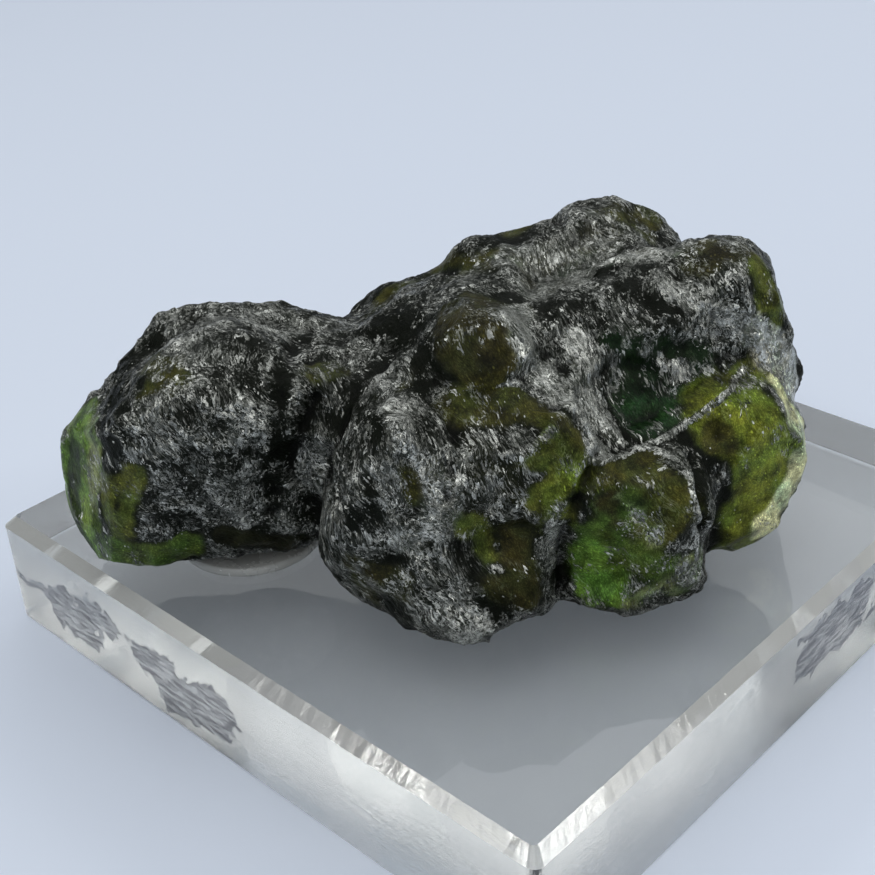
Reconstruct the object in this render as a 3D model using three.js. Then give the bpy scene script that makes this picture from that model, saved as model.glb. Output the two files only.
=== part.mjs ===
// A rough chrysoberyl specimen on its clear acrylic display base, with the round adhesive pad under its
// overhanging end. Millimetres, +Z up. The origin is the middle of the base's underside, and the base's
// edges run along X and Y.

import * as THREE from 'three';
import { ImprovedNoise } from 'three/addons/math/ImprovedNoise.js';

// Driving dimensions of the display base, a square of thick acrylic with polished chamfers.
const BASE_SIDE = 38.1;
const BASE_THICK = 6.7;
const BASE_CHAMFER = 0.6;
const BASE_CORNER = 0.5;

// The adhesive pad, a flat clear disc under the left knob. It is placed in the stone's own frame.
const PAD_DIAMETER = 7.7;
const PAD_THICK = 0.5;
const PAD_EDGE = 0.12;
const PAD_ACROSS = -12.8;
const PAD_AWAY = -3.2;
const PAD_SEGMENTS = 48;

// The stone lies along the base's diagonal, with its best side to the corner at +X -Y.
const STONE_TURN = THREE.MathUtils.degToRad(45);
const REST_GAP = 0.1;

// The stone's own frame has its origin on the base's top, x to the right along the stone, y away from the
// best side and z up. A lobe is a rounded mass: its centre, its half sizes, how boxy it is (2 is an
// ellipsoid), its turn in degrees and the flat broken faces that end it, each a point on the face and its
// outward normal.
const LOBES = [
  { name: 'core', at: [2.6, -2.0, 6.0], half: [9.6, 7.2, 6.0], turn: [0, -4, 0], boxy: 2.5 },
  {
    name: 'left knob',
    at: [-14.8, -3.0, 6.2],
    half: [7.2, 5.6, 6.0],
    boxy: 3.8,
    flats: [
      { at: [-20.8, -5.0, 7.8], normal: [-0.78, -0.62, 0.09] },
      { at: [-18.2, -5.0, 9.8], normal: [-0.62, -0.05, 0.78] },
      { at: [-19.6, -0.5, 6.0], normal: [-0.76, 0.62, 0.2] },
      { at: [-16.0, -5.7, 0.8], normal: [0, -0.45, -0.89] },
    ],
  },
  { name: 'waist', at: [-8.8, -1.8, 6.0], half: [4.6, 4.5, 5.2], boxy: 2.2 },
  { name: 'waist bump', at: [-7.4, -5.2, 9.9], half: [2.0, 1.8, 1.8], boxy: 2 },
  { name: 'front bulge', at: [-3.9, -7.6, 5.3], half: [4.6, 5.2, 6.2], turn: [0, 8, 0], boxy: 2.5 },
  { name: 'front toe', at: [-1.6, -9.4, 2.3], half: [4.6, 4.4, 3.0], boxy: 2.7 },
  { name: 'plateau', at: [-1.2, -1.8, 8.8], half: [5.4, 4.4, 4.4], turn: [0, -12, 0], boxy: 2.5 },
  { name: 'top knob', at: [-0.9, -6.2, 10.8], half: [2.4, 2.4, 2.9], boxy: 2.3 },
  { name: 'olive face', at: [1.3, -8.0, 5.8], half: [3.9, 4.2, 5.3], boxy: 2.6 },
  { name: 'green lobe', at: [6.2, -8.3, 3.3], half: [3.9, 4.5, 4.4], boxy: 3.3 },
  {
    name: 'olive lobe',
    at: [11.0, -4.3, 4.4],
    half: [4.2, 4.3, 4.9],
    turn: [0, -8, 18],
    boxy: 2.8,
    flats: [{ at: [15.6, -5.0, 3.0], normal: [0.78, -0.3, -0.55] }],
  },
  { name: 'crest', at: [6.6, -2.6, 9.8], half: [5.2, 3.6, 4.3], turn: [0, -8, 6], boxy: 2.6 },
  { name: 'right knob', at: [11.8, -2.0, 11.4], half: [3.0, 2.8, 3.1], boxy: 2.5 },
  { name: 'right flank', at: [12.6, -1.6, 7.6], half: [2.9, 3.3, 3.9], turn: [0, 4, 0], boxy: 2.6 },
  { name: 'flank knob', at: [14.8, -2.4, 7.5], half: [1.3, 1.3, 1.4], boxy: 2 },
  { name: 'back peak', at: [6.8, 3.0, 10.8], half: [4.3, 3.2, 4.4], turn: [0, 6, 0], boxy: 2.1 },
  { name: 'back ridge', at: [1.6, 2.8, 9.5], half: [4.8, 3.4, 4.3], turn: [0, -18, 0], boxy: 2.4 },
  { name: 'back slope', at: [-3.6, 1.4, 7.8], half: [4.0, 3.4, 4.0], turn: [0, -18, 0], boxy: 2.3 },
  { name: 'back left lump', at: [-4.2, 3.2, 3.6], half: [3.6, 3.6, 4.0], turn: [0, 0, 20], boxy: 2.4 },
  { name: 'back middle lump', at: [1.6, 4.4, 4.6], half: [4.2, 3.6, 4.9], turn: [0, 0, -8], boxy: 2.5 },
  {
    name: 'back right lump',
    at: [8.6, 3.6, 5.0],
    half: [4.6, 4.2, 5.4],
    turn: [0, 0, -16],
    boxy: 2.6,
    flats: [{ at: [9.6, 6.6, 5.4], normal: [0.26, 0.93, 0.26] }],
  },
];
const LOBE_BLEND = 0.8;
const FLAT_ROUND = 0.15;

// Hollows pressed into the lobes, given as lobes are.
const HOLLOWS = [
  { name: 'green hollow', at: [8.0, -9.4, 11.3], half: [2.7, 3.6, 3.2], boxy: 2 },
];
const HOLLOW_ROUND = 0.6;

// Left of this place the stone's underside is level with the top of the pad.
const SEAT_ACROSS = -7.8;

// Lumpy relief of the grown skin: wave length and height of each octave.
const RELIEF = [
  { wave: 3.6, height: 0.5 },
  { wave: 2.2, height: 0.26 },
];

// The box that is searched for the surface, and how its points are settled on it.
const FIELD_LOW = [-24, -16, -1];
const FIELD_HIGH = [20, 12, 19];
const CELL = 0.9;
const PULL_STEPS = 6;
const SLOPE_STEP = 0.02;
const LEAST_SLOPE = 1e-9;
const PINCH_FILL = -0.05;

const noise = new ImprovedNoise();

function smoothMin(a, b, radius) {
  const h = Math.max(radius - Math.abs(a - b), 0) / radius;
  return Math.min(a, b) - (h * h * radius) / 4;
}

function smoothMax(a, b, radius) {
  return -smoothMin(-a, -b, radius);
}

function prepareLobe(lobe) {
  const angles = (lobe.turn ?? [0, 0, 0]).map(THREE.MathUtils.degToRad);
  const turned = new THREE.Matrix4().makeRotationFromEuler(new THREE.Euler(...angles));
  return { flats: [], ...lobe, axes: turned.elements, least: Math.min(...lobe.half) };
}

const lobes = LOBES.map(prepareLobe);
const hollows = HOLLOWS.map(prepareLobe);

// Roughly the distance from a lobe's surface, negative inside.
function lobeDistance(lobe, x, y, z) {
  const dx = x - lobe.at[0];
  const dy = y - lobe.at[1];
  const dz = z - lobe.at[2];
  const m = lobe.axes;
  const a = Math.abs(dx * m[0] + dy * m[1] + dz * m[2]) / lobe.half[0];
  const b = Math.abs(dx * m[4] + dy * m[5] + dz * m[6]) / lobe.half[1];
  const c = Math.abs(dx * m[8] + dy * m[9] + dz * m[10]) / lobe.half[2];
  const n = lobe.boxy;
  return ((a ** n + b ** n + c ** n) ** (1 / n) - 1) * lobe.least;
}

function flatDistance({ at, normal }, x, y, z) {
  return (x - at[0]) * normal[0] + (y - at[1]) * normal[1] + (z - at[2]) * normal[2];
}

// The stone's surface is where this is zero. It is negative inside.
function stoneField(x, y, z) {
  let relief = 0;
  for (const { wave, height } of RELIEF) relief += height * noise.noise(x / wave, y / wave, z / wave);
  let f;
  for (const lobe of lobes) {
    let d = lobeDistance(lobe, x, y, z) + relief;
    for (const flat of lobe.flats) d = smoothMax(d, flatDistance(flat, x, y, z), FLAT_ROUND);
    f = f === undefined ? d : smoothMin(f, d, LOBE_BLEND);
  }
  for (const hollow of hollows) f = smoothMax(f, -lobeDistance(hollow, x, y, z), HOLLOW_ROUND);
  const seat = Math.min(SEAT_ACROSS - x, PAD_THICK + REST_GAP - z);
  return Math.max(f, REST_GAP - z, seat);
}

// Two inside lattice points that meet only across a face would pinch the surface, so that face is filled.
function fillPinches(values, count, step) {
  let filled = 0;
  for (let k = 0; k < count[2] - 1; k++)
    for (let j = 0; j < count[1] - 1; j++)
      for (let i = 0; i < count[0] - 1; i++)
        for (let axis = 0; axis < 3; axis++) {
          const here = i * step[0] + j * step[1] + k * step[2];
          const u = step[(axis + 1) % 3];
          const w = step[(axis + 2) % 3];
          const ring = [here, here + u, here + u + w, here + w];
          const inside = ring.map((n) => values[n] < 0);
          if (inside[0] !== inside[2] || inside[1] !== inside[3] || inside[0] === inside[1]) continue;
          const [a, b] = inside[0] ? [ring[1], ring[3]] : [ring[0], ring[2]];
          values[values[a] < values[b] ? a : b] = PINCH_FILL;
          filled++;
        }
  return filled;
}

function span(p, q) {
  return Math.hypot(p[0] - q[0], p[1] - q[1], p[2] - q[2]);
}

// Closes a surface around the field: one point in each cell that the surface crosses, and one quad for each
// lattice edge that it crosses. The points are then pulled on to the surface itself.
function meshField(field, low, high, cell) {
  const count = low.map((v, i) => Math.ceil((high[i] - v) / cell) + 1);
  const [nx, ny] = count;
  const step = [1, nx, nx * ny];
  const index = (i, j, k) => i + nx * (j + ny * k);
  const values = new Float64Array(count[0] * count[1] * count[2]);
  for (let k = 0; k < count[2]; k++)
    for (let j = 0; j < count[1]; j++)
      for (let i = 0; i < count[0]; i++)
        values[index(i, j, k)] = field(low[0] + i * cell, low[1] + j * cell, low[2] + k * cell);
  while (fillPinches(values, count, step)) continue;

  const corners = [];
  for (let c = 0; c < 8; c++) corners.push([c & 1, (c >> 1) & 1, (c >> 2) & 1]);
  const edges = [];
  for (let a = 0; a < 8; a++) for (const bit of [1, 2, 4]) if (!(a & bit)) edges.push([a, a | bit]);

  const points = [];
  const cellPoint = new Map();
  for (let k = 0; k < count[2] - 1; k++)
    for (let j = 0; j < count[1] - 1; j++)
      for (let i = 0; i < count[0] - 1; i++) {
        const v = corners.map(([a, b, c]) => values[index(i + a, j + b, k + c)]);
        const sum = [0, 0, 0];
        let crossings = 0;
        for (const [a, b] of edges) {
          if (v[a] < 0 === v[b] < 0) continue;
          const t = v[a] / (v[a] - v[b]);
          for (let axis = 0; axis < 3; axis++) {
            sum[axis] += THREE.MathUtils.lerp(corners[a][axis], corners[b][axis], t);
          }
          crossings++;
        }
        if (!crossings) continue;
        cellPoint.set(index(i, j, k), points.length);
        points.push([i, j, k].map((n, axis) => low[axis] + (n + sum[axis] / crossings) * cell));
      }

  const triangles = [];
  for (let k = 1; k < count[2] - 1; k++)
    for (let j = 1; j < count[1] - 1; j++)
      for (let i = 1; i < count[0] - 1; i++) {
        const here = index(i, j, k);
        for (let axis = 0; axis < 3; axis++) {
          const inside = values[here] < 0;
          if (inside === values[here + step[axis]] < 0) continue;
          const u = step[(axis + 1) % 3];
          const w = step[(axis + 2) % 3];
          const ring = [here - u - w, here - w, here, here - u].map((c) => cellPoint.get(c));
          if (!inside) ring.reverse();
          const [a, b, c, d] = ring;
          if (span(points[a], points[c]) <= span(points[b], points[d])) triangles.push(a, b, c, a, c, d);
          else triangles.push(a, b, d, b, c, d);
        }
      }

  for (const p of points) {
    const start = [...p];
    for (let n = 0; n < PULL_STEPS; n++) {
      const f = field(...p);
      const slope = [0, 1, 2].map((axis) => {
        const q = [...p];
        q[axis] += SLOPE_STEP;
        return (field(...q) - f) / SLOPE_STEP;
      });
      const steep = slope.reduce((s, v) => s + v * v, 0);
      if (steep < LEAST_SLOPE) break;
      for (let axis = 0; axis < 3; axis++) {
        const moved = p[axis] - (f * slope[axis]) / steep;
        p[axis] = THREE.MathUtils.clamp(moved, start[axis] - cell / 2, start[axis] + cell / 2);
      }
    }
  }

  const geometry = new THREE.BufferGeometry();
  geometry.setAttribute('position', new THREE.Float32BufferAttribute(points.flat(), 3));
  geometry.setIndex(triangles);
  return geometry;
}

// A square plate with rounded corners and a chamfer round both faces.
function makeBase() {
  const half = BASE_SIDE / 2 - BASE_CHAMFER;
  const corner = BASE_CORNER;
  const outline = new THREE.Shape();
  outline.moveTo(-half + corner, -half);
  outline.lineTo(half - corner, -half);
  outline.absarc(half - corner, -half + corner, corner, -Math.PI / 2, 0);
  outline.lineTo(half, half - corner);
  outline.absarc(half - corner, half - corner, corner, 0, Math.PI / 2);
  outline.lineTo(-half + corner, half);
  outline.absarc(-half + corner, half - corner, corner, Math.PI / 2, Math.PI);
  outline.lineTo(-half, -half + corner);
  outline.absarc(-half + corner, -half + corner, corner, Math.PI, Math.PI * 1.5);
  const geometry = new THREE.ExtrudeGeometry(outline, {
    depth: BASE_THICK - 2 * BASE_CHAMFER,
    bevelEnabled: true,
    bevelThickness: BASE_CHAMFER,
    bevelSize: BASE_CHAMFER,
    bevelSegments: 1,
    curveSegments: 4,
  });
  geometry.translate(0, 0, BASE_CHAMFER);
  return geometry;
}

// A flat disc with a softened rim, standing on the base's top.
function makePad() {
  const radius = PAD_DIAMETER / 2;
  const profile = [
    [0, 0],
    [radius, 0],
    [radius, PAD_THICK - PAD_EDGE],
    [radius - PAD_EDGE, PAD_THICK],
    [0, PAD_THICK],
  ].map(([r, z]) => new THREE.Vector2(r, z));
  return new THREE.LatheGeometry(profile, PAD_SEGMENTS).rotateX(Math.PI / 2);
}

function makeStone() {
  return meshField(stoneField, FIELD_LOW, FIELD_HIGH, CELL);
}

function piece(name, geometry, look) {
  const mesh = new THREE.Mesh(geometry, new THREE.MeshStandardMaterial(look));
  mesh.name = name;
  return mesh;
}

// From the stone's frame to a place above the base.
function onBase(across, away, up) {
  return new THREE.Vector3(across, away, up).applyAxisAngle(new THREE.Vector3(0, 0, 1), STONE_TURN);
}

const specimen = new THREE.Group();

const base = piece('acrylic_base', makeBase(), { color: 0xe9eef0, roughness: 0.05, metalness: 0 });
specimen.add(base);

const pad = piece('adhesive_pad', makePad(), { color: 0xd9dcda, roughness: 0.3, metalness: 0 });
pad.position.copy(onBase(PAD_ACROSS, PAD_AWAY, 0)).setZ(BASE_THICK);
specimen.add(pad);

const stone = piece('chrysoberyl', makeStone(), { color: 0x2a3524, roughness: 0.35, metalness: 0 });
stone.rotation.z = STONE_TURN;
stone.position.z = BASE_THICK;
specimen.add(stone);

export default specimen;
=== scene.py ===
"""Rough chrysoberyl on a clear acrylic base: its visible pieces, finishes and studio."""

import logging
import math
from dataclasses import dataclass
from enum import Enum
from itertools import product

import bmesh
import bpy
import numpy as np
from mathutils import Matrix, Vector, kdtree


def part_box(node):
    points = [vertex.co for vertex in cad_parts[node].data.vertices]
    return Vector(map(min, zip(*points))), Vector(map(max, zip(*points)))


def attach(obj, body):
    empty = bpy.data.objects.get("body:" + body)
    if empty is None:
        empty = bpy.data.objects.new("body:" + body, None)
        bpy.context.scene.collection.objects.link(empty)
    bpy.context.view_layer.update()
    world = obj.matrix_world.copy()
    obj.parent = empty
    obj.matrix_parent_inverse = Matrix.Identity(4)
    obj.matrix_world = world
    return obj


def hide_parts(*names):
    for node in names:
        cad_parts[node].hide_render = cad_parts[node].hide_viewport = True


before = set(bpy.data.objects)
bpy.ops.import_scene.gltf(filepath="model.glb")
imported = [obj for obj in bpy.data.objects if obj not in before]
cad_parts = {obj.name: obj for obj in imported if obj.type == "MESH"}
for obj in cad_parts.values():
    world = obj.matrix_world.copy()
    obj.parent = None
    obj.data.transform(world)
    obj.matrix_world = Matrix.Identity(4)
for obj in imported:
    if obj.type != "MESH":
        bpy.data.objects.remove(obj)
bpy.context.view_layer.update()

MM = 0.001

Place = tuple[float, float, float]
Colour = tuple[float, float, float]
Source = bpy.types.NodeSocket | float | tuple[float, ...]
Results = dict[str, bpy.types.NodeSocket]

logging.basicConfig(level=logging.INFO, format="%(message)s")
log = logging.getLogger("specimen")


class Tint(Enum):
    """Body colours of the crystal, as linear light."""

    INK = (0.010, 0.013, 0.008)
    BROWN = (0.028, 0.028, 0.010)
    OLIVE = (0.046, 0.050, 0.013)
    MOSS = (0.066, 0.082, 0.018)
    DEEP = (0.014, 0.040, 0.016)
    FERN = (0.024, 0.040, 0.010)
    GREEN = (0.050, 0.082, 0.018)
    SPRING = (0.092, 0.185, 0.032)
    LEAF = (0.130, 0.165, 0.026)
    FRESH = (0.100, 0.165, 0.036)
    SAGE = (0.150, 0.195, 0.090)
    PALE = (0.560, 0.620, 0.430)
    SILVER = (0.190, 0.210, 0.185)
    # LIT_FLANK is painted light: a pale tone for the flank that faces right.
    LIT_FLANK = (0.800, 0.850, 0.815)


# ---- places and noise ----


@dataclass(frozen=True)
class StoneFrame:
    """The stone's own frame in mm: across, away from the viewer, and above the plate."""

    turn: float = math.radians(45.0)
    plate_top: float = 6.7

    def to_row(self, points: np.ndarray) -> np.ndarray:
        """Places in the stone's frame, in mm, as places in the row frame, in metres."""
        c, s = math.cos(self.turn), math.sin(self.turn)
        across, away, up = points.T
        moved = (across * c - away * s, across * s + away * c, up + self.plate_top)
        return np.stack(moved, axis=1) * MM

    def from_row(self, points: np.ndarray) -> np.ndarray:
        """Places in the row frame, in metres, as places in the stone's frame, in mm."""
        c, s = math.cos(self.turn), math.sin(self.turn)
        x, y, z = points.T / MM
        return np.stack((x * c + y * s, y * c - x * s, z - self.plate_top), axis=1)


@dataclass(frozen=True)
class GrowthNoise:
    """Seeded smooth noise in space, from about -1 to 1, for uneven crystal growth."""

    wave: float
    seed: int

    def at(self, points: np.ndarray) -> np.ndarray:
        """The noise's value at each point.

        Args:
            points: Places in mm, one a row.

        Returns:
            One value for each place.
        """
        directions = np.random.default_rng(self.seed).normal(size=(256, 3))
        directions /= np.linalg.norm(directions, axis=1, keepdims=True)
        cell = points / self.wave
        base = np.floor(cell).astype(np.int64)
        inside = cell - base
        fade = inside**3 * (inside * (inside * 6 - 15) + 10)
        total = np.zeros(len(points))
        for corner in product((0, 1), repeat=3):
            at = base + corner
            key = (at[:, 0] * 73856093) ^ (at[:, 1] * 19349663) ^ (at[:, 2] * 83492791)
            key = (key ^ (key >> 13)) * 1274126177
            pull = directions[(key >> 8) & 255]
            share = np.prod(np.where(corner, fade, 1 - fade), axis=1)
            total += share * np.sum(pull * (inside - corner), axis=1)
        return total * 1.6

    def layered(self, points: np.ndarray, layers: int) -> np.ndarray:
        """The noise with finer layers added, each half as strong and as wide."""
        total = np.zeros(len(points))
        for layer in range(layers):
            finer = GrowthNoise(self.wave / 2**layer, self.seed + layer)
            total += finer.at(points) / 2**layer
        return total


def ease(value: np.ndarray, low: float, high: float) -> np.ndarray:
    """A smooth rise from 0 at low to 1 at high."""
    share = np.clip((value - low) / (high - low), 0.0, 1.0)
    return share * share * (3 - 2 * share)


def away_from(points: np.ndarray, path: tuple[Place, ...]) -> np.ndarray:
    """How far each point lies from a path.

    Args:
        points: Places in mm, one a row.
        path: The path's corners; a single one is a spot.

    Returns:
        One distance in mm for each place.
    """
    corners = np.array(path, float)
    nearest = np.linalg.norm(points - corners[0], axis=1)
    for start, end in zip(corners[:-1], corners[1:]):
        along = end - start
        share = np.clip((points - start) @ along / (along @ along), 0.0, 1.0)
        gap = np.linalg.norm(points - start - share[:, None] * along, axis=1)
        nearest = np.minimum(nearest, gap)
    return nearest


# ---- the stone's forms ----


@dataclass(frozen=True)
class Line:
    """A line on the stone that stands proud, or is cut in where its rise is negative."""

    path: tuple[Place, ...]
    wide: float
    rise: float

    def height(self, points: np.ndarray) -> np.ndarray:
        """How far the line lifts each point along the surface's normal."""
        return self.rise * (1 - ease(away_from(points, self.path), 0.0, self.wide))


@dataclass(frozen=True)
class Flat:
    """A crystal face that presses the stone flat around a spot."""

    spot: Place
    reach: float
    sink: float

    def press(self, points: np.ndarray, normals: np.ndarray) -> np.ndarray:
        """Moves the points that stand beyond the face onto it.

        Args:
            points: The surface's places in mm.
            normals: The surface's normals there.

        Returns:
            The places after pressing.
        """
        gap = np.linalg.norm(points - self.spot, axis=1)
        near = gap < self.reach
        if not near.any():
            return points
        facing = normals[near].mean(axis=0)
        facing /= np.linalg.norm(facing)
        middle = points[gap < self.reach * 0.45].mean(axis=0)
        proud = (points - middle) @ facing + self.sink
        share = 1 - ease(gap, self.reach * 0.7, self.reach)
        share *= ease(normals @ facing, 0.2, 0.5)
        return points - (np.maximum(proud, 0.0) * share)[:, None] * facing


@dataclass(frozen=True)
class Zone:
    """A zone of one look: how clear its crystal is, its colour and its silvery film."""

    name: str
    path: tuple[Place, ...]
    reach: float
    film: float
    clear: float = 0.0
    tint: Tint = Tint.INK
    ragged: float = 0.55

    def share(self, points: np.ndarray, unevenness: np.ndarray) -> np.ndarray:
        """How much each point belongs to the zone, with a ragged border."""
        gap = away_from(points, self.path) + unevenness * self.ragged
        return 1 - ease(gap, self.reach * (0.95 - 0.8 * self.ragged), self.reach * 1.12)


VALLEY = ((-9.4, -3.0, 11.3), (-9.7, -6.7, 11.5), (-9.9, -7.9, 10.6), (-10.1, -8.5, 8.4),
          (-10.4, -8.2, 6.4), (-10.7, -8.4, 4.8))

CREASES = (
    Line(VALLEY, 0.8, -0.26),
    Line(((-2.5, -8.2, 11.3), (-2.0, -9.6, 10.5), (-2.2, -11.3, 9.4), (-2.6, -12.4, 7.5)),
         0.6, -0.28),
    Line(((4.5, -10.8, 8.4), (3.8, -11.8, 7.7), (3.2, -12.3, 6.5), (2.8, -12.1, 4.7),
          (2.7, -11.9, 3.2), (2.8, -11.6, 1.5)), 0.5, -0.40),
    Line(((9.1, -9.4, 7.2), (9.1, -11.6, 6.7), (9.3, -12.1, 5.4), (9.7, -11.0, 2.7)),
         0.55, -0.40),
    Line(((10.5, -8.0, 7.4), (10.8, -8.0, 6.9)), 0.9, -0.26),
)

RIDGES = (
    Line(((0.2, -8.8, 11.2), (1.4, -8.9, 11.2), (2.4, -9.4, 10.8), (3.5, -9.9, 10.2),
          (4.3, -10.4, 9.0), (4.5, -11.1, 8.2)), 0.38, 0.16),
    Line(((4.4, -11.1, 8.2), (6.3, -9.5, 7.7), (7.3, -9.6, 7.7), (8.2, -10.4, 7.5),
          (8.6, -11.3, 7.0), (8.8, -12.1, 6.2), (9.0, -12.3, 5.0), (9.1, -12.2, 3.2)),
         0.38, 0.20),
    Line(((6.3, -9.5, 7.7), (7.6, -8.9, 7.8), (8.9, -7.9, 8.0), (10.4, -7.2, 8.6),
          (11.3, -6.5, 8.9), (12.2, -5.2, 9.3)), 0.30, 0.12),
    Line(((12.6, -4.7, 11.0), (13.5, -5.0, 9.1), (14.5, -5.5, 7.6), (16.0, -4.5, 4.7)),
         0.34, 0.16),
    Line(((-8.2, -4.0, 11.1), (-6.7, -5.7, 11.3), (-5.3, -7.3, 11.0), (-4.4, -10.8, 10.8),
          (-3.8, -11.8, 9.8), (-3.2, -12.4, 7.6), (-2.9, -13.1, 4.7)), 0.7, 0.14),
    Line(((3.6, -3.0, 13.1), (5.4, -2.2, 13.8), (7.8, -1.9, 14.4), (10.0, -2.0, 14.9)),
         0.5, 0.16),
    Line(((1.0, -7.0, 13.1), (1.7, -7.6, 11.8), (2.8, -8.7, 10.8), (3.7, -9.7, 10.1),
          (4.6, -10.2, 8.6)), 0.30, 0.14),
    Line(((1.6, -6.4, 12.7), (2.4, -7.6, 11.3), (3.6, -8.4, 10.6), (4.4, -9.4, 9.4),
          (5.0, -9.9, 8.2)), 0.26, 0.12),
    Line(((4.0, -5.9, 12.3), (4.3, -6.8, 11.3), (4.7, -7.9, 9.9), (5.5, -9.0, 8.2)),
         0.28, 0.14),
    Line(((4.7, -5.9, 12.2), (4.9, -6.9, 11.0), (5.2, -8.0, 9.6), (5.9, -9.1, 7.9)),
         0.24, 0.12),
)

SWELLS = (
    Line(((-1.6, -5.8, 13.0), (-1.2, -7.4, 12.8), (-0.2, -7.0, 13.2)), 2.9, 0.46),
    Line(((-19.6, -7.4, 2.4), (-17.5, -8.1, 2.3), (-15.2, -8.3, 2.5)), 1.6, 0.38),
    Line(((-20.9, -5.4, 5.3), (-20.7, -5.8, 3.7), (-20.4, -6.3, 2.2), (-19.8, -6.8, 1.6)),
         1.8, 0.42),
    Line(((-15.0, -0.6, 12.1), (-15.5, -1.7, 12.1), (-16.4, -2.0, 11.4)), 2.4, -0.85),
    Line(((-9.9, -1.3, 11.6), (-9.0, -1.2, 11.6), (-8.3, -1.5, 11.5)), 2.0, -0.42),
    Line(((-10.8, 0.0, 11.9), (-10.0, -0.4, 11.8), (-9.4, -0.9, 11.7)), 2.2, -0.40),
    Line(((8.8, 3.0, 14.7), (9.2, 2.4, 14.5), (9.6, 1.8, 14.0)), 2.2, -1.00),
    Line(((10.4, 0.2, 13.8), (10.4, -1.1, 14.2), (10.6, -2.0, 14.4)), 1.6, 0.42),
    Line(((15.1, -5.9, 6.2), (15.0, -6.6, 5.6)), 1.6, 0.42),
    Line(((11.8, -8.1, 1.4), (12.5, -7.8, 1.4), (13.3, -7.7, 1.7), (13.9, -7.4, 2.2)),
         1.8, 0.42),
    Line(((-2.6, -13.6, 1.2), (-2.1, -13.6, 1.1), (-1.5, -13.7, 0.9)), 2.0, 0.50),
    Line(((0.8, -13.6, 1.9), (1.3, -13.3, 2.0), (1.9, -12.3, 1.4)), 1.6, 0.34),
    Line(((1.9, -4.8, 12.4), (1.5, -4.0, 12.6)), 1.5, 0.34),
    Line(((1.4, -7.6, 12.3), (1.0, -8.3, 11.9)), 1.4, 0.34),
    Line(((-2.0, -8.8, 11.2), (-1.0, -8.9, 11.3), (0.0, -8.9, 11.3)), 1.5, 0.38),
    Line(((2.4, -6.0, 12.1), (2.9, -6.6, 11.6)), 1.2, 0.24),
    Line(((0.8, -10.6, 10.4),), 2.2, 0.22),
    Line(((5.8, -12.4, 5.0),), 2.8, 0.22),
    Line(((12.6, -7.8, 5.4),), 3.0, 0.22),
    Line(((-6.0, -10.8, 8.0),), 3.0, 0.20),
)

FLATS = (
    Flat((13.0, -7.8, 4.6), 2.8, 0.28),
    Flat((15.1, -5.9, 5.6), 1.6, 0.14),
    Flat((13.9, -4.5, 10.2), 1.6, 0.18),
    Flat((5.5, -12.4, 5.2), 2.5, 0.22),
    Flat((3.0, -11.6, 9.0), 1.5, 0.14),
    Flat((0.5, -10.4, 10.6), 2.0, 0.16),
    Flat((0.4, -13.4, 3.5), 1.8, 0.18),
    Flat((-20.2, -6.0, 5.8), 2.8, 0.20),
    Flat((-13.8, -8.7, 6.6), 2.6, 0.14),
    Flat((-5.5, -12.0, 5.5), 2.4, 0.18),
    Flat((13.5, -4.2, 13.0), 1.4, 0.14),
    Flat((7.0, -7.0, 9.4), 1.8, 0.10),
)

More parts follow.
